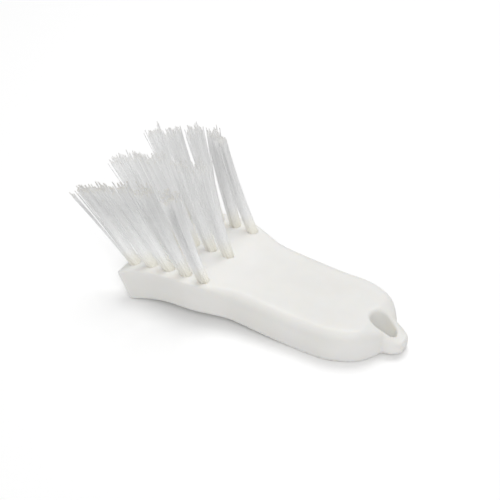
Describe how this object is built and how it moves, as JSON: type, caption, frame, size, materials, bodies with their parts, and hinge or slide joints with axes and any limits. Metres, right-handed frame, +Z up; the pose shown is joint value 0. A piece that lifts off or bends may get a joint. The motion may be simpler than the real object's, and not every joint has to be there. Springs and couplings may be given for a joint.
{
  "type": "blade cleaning brush",
  "caption": "Hand brush with a white moulded palm handle, hanging eye and rows of long forward-leaning bristle tufts, for scrubbing slicer blades held between the rows.",
  "frame": {"origin": "on the resting plane, under the middle of the flat heel of the handle", "axes": "+Z up from the back of the brush towards the bristles, +X along the brush from the head towards the hanging eye, +Y to the far side in the picture"},
  "size_m": [0.1738, 0.0775, 0.0787],
  "materials": {
    "moulded_block": "satin moulded polypropylene",
    "bristle": "translucent white polyester filament",
    "anchor_wire": "flat drawn stainless wire"
  },
  "bodies": {
    "root": {"brush_block": "moulded_block", "bristle_row_near": "bristle", "bristle_row_middle": "bristle", "bristle_row_far": "bristle", "tuft_root_near_1": "bristle", "anchor_near_1": "anchor_wire", "tuft_root_near_2": "bristle", "anchor_near_2": "anchor_wire", "tuft_root_near_3": "bristle", "anchor_near_3": "anchor_wire", "tuft_root_near_4": "bristle", "anchor_near_4": "anchor_wire", "tuft_root_near_5": "bristle", "anchor_near_5": "anchor_wire", "tuft_root_middle_1": "bristle", "anchor_middle_1": "anchor_wire", "tuft_root_middle_2": "bristle", "anchor_middle_2": "anchor_wire", "tuft_root_middle_3": "bristle", "anchor_middle_3": "anchor_wire", "tuft_root_middle_4": "bristle", "anchor_middle_4": "anchor_wire", "tuft_root_middle_5": "bristle", "anchor_middle_5": "anchor_wire", "tuft_root_far_1": "bristle", "anchor_far_1": "anchor_wire", "tuft_root_far_2": "bristle", "anchor_far_2": "anchor_wire", "tuft_root_far_3": "bristle", "anchor_far_3": "anchor_wire", "tuft_root_far_4": "bristle", "anchor_far_4": "anchor_wire", "tuft_root_far_5": "bristle", "anchor_far_5": "anchor_wire"}
  },
  "joints": []
}
